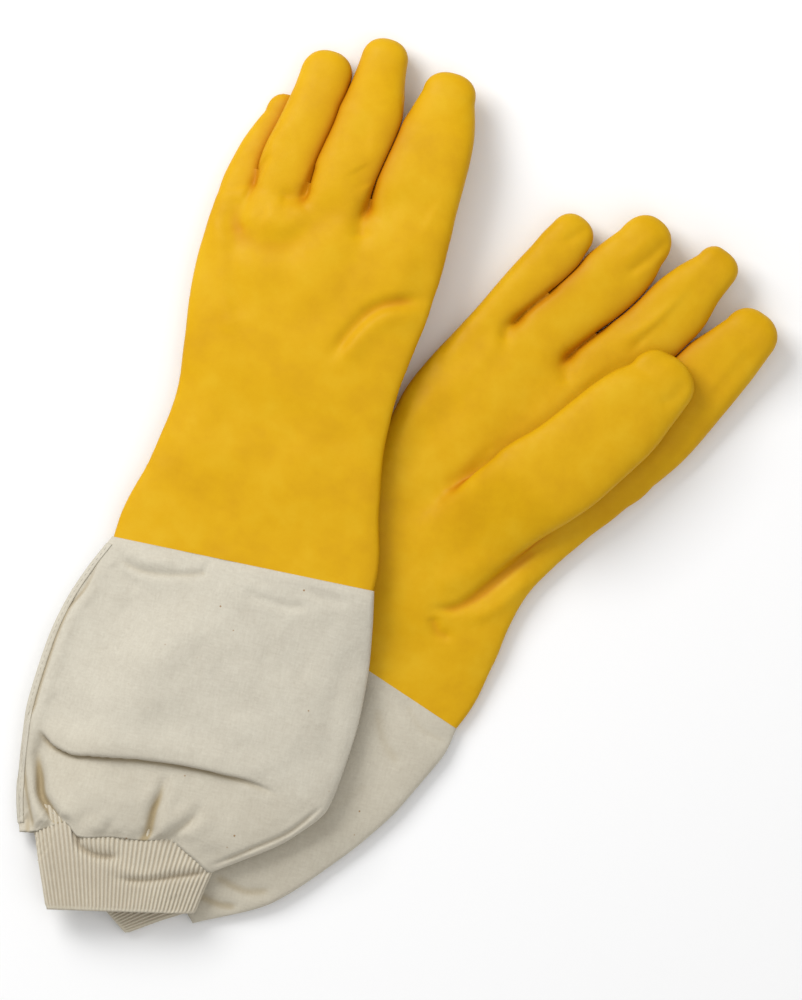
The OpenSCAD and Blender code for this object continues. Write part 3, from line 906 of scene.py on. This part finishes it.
def left_sleeve_at(v, turn):
    """Points of the left sleeve's outer side, in row millimetres, and how much painted shade each takes: in
    its creases and folds, and a little more towards the cuff.
    """
    across, upward, x, y = LEFT_SLEEVE.place(v, turn)
    y = y + LEFT_HEM(across) * v**5 * np.where(upward > 0, 1, 0.55)
    on_top = smooth(-0.05, 0.4, upward)
    tall = LEFT_TALL(v)
    left_edge = LEFT_SLEEVE.left[0](v)

    # the blouse: the cloth above the fold rolls over the cloth that runs down to the cuff
    d, side, along = path_distance(x, y, rounded_path(LEFT_FOLD))
    above = np.where(side > 0, d, -d)
    ends = smooth(0, 0.08, along) * smooth(0, 0.3, 1 - along)
    relief = ends * ROLL_HIGH * bell(np.clip(above, 0, None) - 5, 8) * (above > 0)
    relief -= ends * ROLL_DROP * np.exp(-np.clip(-above, 0, None) / 14) * (1 - smooth(-0.6, 2.4, above))
    relief -= ends * 1.3 * bell(above + 0.6, 1.4)
    overhang = ends * ROLL_OVER * np.exp(-np.clip(above, 0, None) / 6) * smooth(-0.5, 1.5, above)
    fold_hollow = ends * bell(above + 1.2, 1.5)

    # the long fold beside the little-finger edge, below which the felled seam shows
    inward = x - left_edge - STRIP(y)
    strip = smooth(0.04, 0.3, v) * smooth(1, 0.95, v)
    relief -= strip * STRIP_DROP * (1 - smooth(-1.0, 1.4, inward))
    relief -= strip * 0.8 * bell(inward + 0.6, 1.0)
    relief += strip * 0.9 * bell(inward - 4, 3.5)

    hem = smooth(0.95, 1, v)
    relief += gathers(x, y, LEFT_GATHERS) * (1 - hem) - strokes(x, y, LEFT_SLACK)
    calm = smooth(0, 0.08, v)
    for high, cell, seed in ((1.3, 38, 11), (0.6, 15, 12), (0.14, 5, 13)):
        relief += calm * high * value_noise(x, y, cell, seed)
    relief += 0.7 * smooth(0, 0.03, v) * smooth(0.2, 0.05, v)
    relief += hem * 0.35 * value_noise(x, 0 * y, 5.5, 17)
    under = 0.5 * value_noise(x, y, 24, 21) * calm + 0.4 * hem * value_noise(x, 0 * y, 5.5, 18)

    y = y - overhang * on_top
    # at the seam the cloth follows the leaning rubber; farther down it lies on what is under it
    leaning = LEFT.row(np.stack([x, y, LEFT_SEAM_HEIGHT + tall * 0.5 * upward], -1))
    lying = np.stack([leaning[..., 0], leaning[..., 1], under_left(x, y) + tall * 0.5 * (1 + upward)], -1)
    share = smooth(0.02, 0.3, v)[..., None]
    p = leaning * (1 - share) + lying * share
    p[..., 2] += relief * on_top - under * (1 - on_top)
    p[..., 2] = np.maximum(p[..., 2], CLOTH_GAP)
    # painted shade: under the blouse fold, along the long fold beside the strip, in the gathers and deeper
    # slack creases, and a little more towards the cuff end
    hollow = on_top * np.maximum(0.7 * fold_hollow, strip * 0.75 * bell(inward + 0.4, 0.9))
    hollow = np.maximum(hollow, on_top * smooth(0.6, 3.2, -gathers(x, y, LEFT_GATHERS)))
    hollow = np.maximum(hollow, on_top * 0.35 * smooth(0.9, 2.2, strokes(x, y, LEFT_SLACK[:4])))
    return p, hollow + 0.11 * smooth(-95, -125, y)


RIGHT_SLACK = [
    ([(40, -2), (58, -10), (74, -8)], 0.9, 3.5),
    ([(30, -12), (48, -26), (62, -30)], 1.0, 4.5),
    ([(16, -6), (24, -20), (26, -36)], 1.2, 4.0),
    ([(56, -40), (48, -66), (46, -92)], 0.8, 6.0),
    ([(66, -62), (56, -88), (44, -112)], -0.7, 6.0),
    ([(52, -118), (40, -128), (22, -132)], 1.3, 3.6),
    ([(44, -136), (34, -142), (18, -146)], 1.5, 3.0),
]


def right_sleeve_at(v, turn):
    """Points of the right sleeve's outer side, in row millimetres, and how much painted shade each takes: a
    little all over, for the left sleeve's shadow on it, and more in its creases.
    """
    _, upward, x, y = RIGHT_SLEEVE.place(v, turn)
    on_top = smooth(-0.05, 0.4, upward)
    tall = RIGHT_TALL(v)
    pressed = strokes(x, y, RIGHT_SLACK)
    calm = smooth(0, 0.08, v)
    shows = smooth(0, 24, x)
    relief = 0.45 * value_noise(x, y, 30, 31) + 0.3 * value_noise(x, y, 13, 32)
    relief *= calm * (0.35 + 0.65 * shows)
    relief -= pressed - 0.8 * shows * smooth(0.1, 0.4, v) * smooth(1, 0.8, v)
    crimp = smooth(0.9, 1, v) * 0.7 * value_noise(x + y, 0 * y, 5.5, 33)
    z = tall * 0.5 * (1 + upward) + (relief + crimp) * on_top
    p = RIGHT.row(np.stack([x, y, np.maximum(z, OFF_FLOOR)], -1))
    # painted shadow of the left sleeve all over, and painted shade in the creases on top
    return p, 0.12 + on_top * 0.5 * smooth(0.6, 1.6, pressed)


CANVAS_WALL = 0.8
SLEEVE_ROWS, SLEEVE_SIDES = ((150, 460))


def sleeve_grid(at, wide):
    v, turn = np.meshgrid(np.linspace(0, 1, SLEEVE_ROWS), even_turns(SLEEVE_SIDES, wide, 8), indexing="ij")
    return at(v, turn)


def tie_left(piece):
    """A left sleeve piece, its placing baked into its points."""
    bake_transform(piece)


SIDE_SEAM_WALL = 0.5
SIDE_SEAM_LIFT = 0.08
SIDE_STITCH_PITCH, STITCH_LONG = 3.4, 2.5
# the felled seam's outer edge, stitching and inner edge, across the sleeve
SEAM_LINES = (0.994, 0.975, 0.952)


def side_seam(name, at, rows=120):
    """The felled seam down the little-finger side: a flat strip on the canvas, and its row of stitches."""
    v = np.linspace(0.03, 0.965, rows)
    columns = np.linspace(SEAM_LINES[2], SEAM_LINES[0], 8)
    grid_v, grid_turn = np.meshgrid(v, turn_at(-columns), indexing="ij")
    p, _ = at(grid_v, grid_turn)
    normals = grid_normals(p, closed=False)
    puff = SIDE_SEAM_WALL + SIDE_SEAM_LIFT
    strip = sheet_piece(
        name + "_side_seam_strip", p + normals * puff, SIDE_SEAM_WALL, CANVAS, closed=False
    )
    line, _ = at(v, np.full(v.shape, turn_at(-SEAM_LINES[1])))
    ups = normals[:, len(columns) // 2]
    gone = np.concatenate([[0], np.cumsum(np.linalg.norm(np.diff(line, axis=0), axis=1))])
    stops = np.arange(SIDE_STITCH_PITCH, gone[-1] - SIDE_STITCH_PITCH, SIDE_STITCH_PITCH)

    def along(values, s):
        return np.stack([np.interp(s, gone, values[:, c]) for c in range(3)], -1)

    centres = along(line + ups * (puff + 0.1), stops)
    ways = along(line, stops + 1) - along(line, stops - 1)
    return strip, stitches(name + "_side_seam_thread", centres, ways, along(ups, stops), STITCH_LONG)


def sleeves():
    for name, at, wide, under in (
        ("left", left_sleeve_at, 80, ["left_rubber_hand", "right_canvas"]),
        ("right", right_sleeve_at, 75, ["right_rubber_hand"]),
    ):
        p, hollow = sleeve_grid(at, wide)
        canvas = sheet_piece(name + "_canvas", p, CANVAS_WALL, CANVAS, hollow=hollow)
        strip, thread = side_seam(name, at)
        for piece, node in ((canvas, "canvas_sleeve"), (strip, "side_seam"), (thread, "side_stitches")):
            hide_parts(f"{name}_{node}")
            if name == "left":
                tie_left(piece)
            else:
                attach(piece, "right_hand")


sleeves()

# ------------ knitted cuffs
RIBS = 82
POINTS_PER_RIB = 8
RIB_WALL = 0.9
RIB_HEIGHT = 0.75
CUFF_ROWS, CUFF_STITCHES = 44, 44
CUFF_TALL = [9.4, 9.8, 9.2]
LEFT_CUFF_CREASES = [
    ([(-50, -153), (-46.5, -159), (-44, -163.6), (-33.8, -166), (-22.7, -164)], 2.4, 1.9),
    ([(-43, -154), (-38, -159), (-26, -159)], -1.0, 3.4),
    ([(-20, -175), (-7.6, -172.4), (8.8, -166), (24, -159.5)], 2.0, 1.8),
    ([(-4, -166), (10, -160), (20, -156)], -0.7, 3.4),
    ([(-30, -170), (-12, -170), (4, -165)], -0.7, 3.2),
    ([(-56, -178), (-50, -184), (-48, -192)], 0.7, 4.0),
    ([(10, -176), (14, -183)], 0.7, 4.0),
]


def laid(plan, x, y, z):
    """Row points at plan x and y. For the left glove z is the height in the row: its cloth doesn't lean."""
    p = plan.row(np.stack([x, y, z], -1))
    if plan is LEFT:
        p[..., 2] = z
    return p


def cuff_at(plan, tube, under, creases, seed):
    """A grid over the cuff's outer side, in row millimetres, ribbed along its length, and its painted shade
    in the grooves between ribs and in its creases.
    """
    turns = even_turns(RIBS * POINTS_PER_RIB, 44, 4.8)
    v, turn = np.meshgrid(np.linspace(0, 1, CUFF_ROWS), turns, indexing="ij")
    _, upward, x, y = tube.place(v, turn)
    tall = curve([0, 0.5, 1], CUFF_TALL)(v)
    pressed = strokes(x, y, creases) * (upward > 0)
    sway = 0.5 * value_noise(x, y, 14, seed)
    z = under(x, y) + tall * 0.5 * (1 + upward) + np.where(upward > 0, sway - pressed, 0)
    flat = laid(plan, x, y, z)
    normals = grid_normals(flat)
    phase = np.arange(RIBS * POINTS_PER_RIB) / POINTS_PER_RIB
    rib = (0.5 + 0.5 * np.cos(2 * math.pi * phase)) ** 0.8
    bound = smooth(0.985, 0.95, v)
    shape = RIB_HEIGHT * (rib[None] * (0.35 + 0.65 * bound) - 0.5)
    p = flat + normals * shape[..., None]
    p[..., 2] = np.maximum(p[..., 2], OFF_FLOOR)
    # painted shade: in the grooves between the ribs, fading at the cuff's far end, and in the pressed
    # creases
    hollow = np.maximum(0.66 * (1 - rib[None]) ** 2 * bound, 0.6 * smooth(0.7, 1.8, pressed))
    return p, hollow


def cuff_thread(name, tube, plan, under):
    """The stitches that hold the gathered canvas on the cuff, in a ring just inside the hem."""
    turns = even_turns(CUFF_STITCHES, 48, 5)
    v = np.full(turns.shape, 0.06)
    _, upward, x, y = tube.place(v, turns)
    ring = laid(plan, x, y, under(x, y) + CUFF_TALL[0] * 0.5 * (1 + upward))
    out = np.stack([0 * upward, 0 * upward, np.where(upward > 0, 1.0, -1.0)], -1)
    return stitches(name, ring + out * 0.45 * RIB_HEIGHT, round_ways(ring), out, STITCH_LONG)


def cuffs():
    def table(x, y):
        return 0 * x + 0.45

    for plan, tube, under, creases, body, seed in (
        (LEFT, LEFT_CUFF, under_left, LEFT_CUFF_CREASES, "left_sleeve", 41),
        (RIGHT, RIGHT_CUFF, table, [], "right_hand", 42),
    ):
        p, hollow = cuff_at(plan, tube, under, creases, seed)
        cuff = sheet_piece(plan.name + "_knitted_cuff", p, RIB_WALL, RIB, hollow=hollow)
        thread = cuff_thread(plan.name + "_cuff_thread", tube, plan, under)
        for piece, node in ((cuff, "rib_cuff"), (thread, "cuff_stitches")):
            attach(piece, body)
            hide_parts(f"{plan.name}_{node}")


cuffs()

# ------------ the sewn turning inside each gauntlet
TURNING_FIT = 0.25
TURNING_SIDES, TURNING_STITCHES = 240, 70


def turning(plan, hand):
    """The end of the canvas turned into the gauntlet, and the stitches through it."""
    middle_x, middle_z, wide, tall = by_y(hand, 0, 2, 3, 4)
    inset = RUBBER_WALL + TURNING_FIT

    def at(y, turn, inwards):
        e = 2 / SECTION_POWER
        x = middle_x(y) + (wide(y) - inwards) * power(np.cos(turn), e)
        z = middle_z(y) + (tall(y) - inwards) * power(np.sin(turn), e)
        return plan.row(np.stack([x, y, z], -1))

    around = even_turns(TURNING_SIDES, 68, 5, 2 / SECTION_POWER)
    y, turn = np.meshgrid(np.linspace(TURNING_DEPTH, 0.3, 14), around, indexing="ij")
    p = at(y, turn, inset)
    p += grid_normals(p) * (0.12 * value_noise(p[..., 0], p[..., 1], 4, 51))[..., None]
    band = sheet_piece(plan.name + "_turned_canvas", p, CANVAS_WALL, CANVAS)
    turns = even_turns(TURNING_STITCHES, 66, 4, 2 / SECTION_POWER)
    ring = at(np.full(turns.shape, TURNING_DEPTH / 2), turns, inset + CANVAS_WALL)
    up = plan.matrix @ np.array([0, 0, 1.0])
    ups = np.where(np.sin(turns)[:, None] > 0, -up, up)
    thread = stitches(plan.name + "_turning_thread", ring + ups * 0.1, round_ways(ring), ups, STITCH_LONG)
    for piece, node in ((band, "seam_turning"), (thread, "seam_stitches")):
        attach(piece, plan.name + "_hand")
        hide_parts(f"{plan.name}_{node}")


turning(LEFT, LEFT_HAND)
turning(RIGHT, RIGHT_HAND)

# ------------ stage
LENS = 300
VIEW_TALL = 0.520  # how much of the row the long side of the picture shows
VIEW_MIDDLE = (-0.0034, 0.0121)
VIEW_ROLL = 15
VIEW_LEVEL = 0.015  # the height at which the view has this size
FLOOR_SIZE, FLOOR_WHITE = 6, (0.93, 0.93, 0.93, 1)
WORLD_LIGHT = 0.44
LAMPS = {  # place, size and power
    "key": ((-1.15, 0.75, 1.25), 1.0, 25),
    "fill": ((1.1, -0.5, 1.4), 1.6, 4.5),
    "top": ((0.0, 0.2, 2.2), 1.8, 8.5),
}


def stage():
    bpy.ops.mesh.primitive_plane_add(size=FLOOR_SIZE)
    floor = bpy.context.active_object
    floor.name = "floor"
    material, _, shader = node_tree("floor_white")
    shader.inputs["Base Color"].default_value = FLOOR_WHITE
    shader.inputs["Roughness"].default_value = 0.9
    floor.data.materials.append(material)
    world = bpy.data.worlds.new("studio")
    bpy.context.scene.world = world
    world.use_nodes = True
    sky = world.node_tree.nodes["Background"]
    sky.inputs["Color"].default_value = (1, 1, 1, 1)
    sky.inputs["Strength"].default_value = WORLD_LIGHT
    for name, (place, size, watts) in LAMPS.items():
        lamp = bpy.data.lights.new(name, "AREA")
        lamp.size, lamp.energy = size, watts
        holder = bpy.data.objects.new(name, lamp)
        bpy.context.scene.collection.objects.link(holder)
        holder.location = place
        holder.rotation_mode = "QUATERNION"
        holder.rotation_quaternion = (-Vector(place)).to_track_quat("-Z", "Y")
    camera_data = bpy.data.cameras.new("camera")
    camera = bpy.data.objects.new("camera", camera_data)
    bpy.context.scene.collection.objects.link(camera)
    bpy.context.scene.camera = camera
    camera_data.lens = LENS
    camera_data.clip_end = 50
    camera.location = (*VIEW_MIDDLE, VIEW_TALL * LENS / camera_data.sensor_width + VIEW_LEVEL)
    camera.rotation_euler = (0, 0, math.radians(VIEW_ROLL))
    bpy.context.scene.view_settings.view_transform = "Standard"


stage()
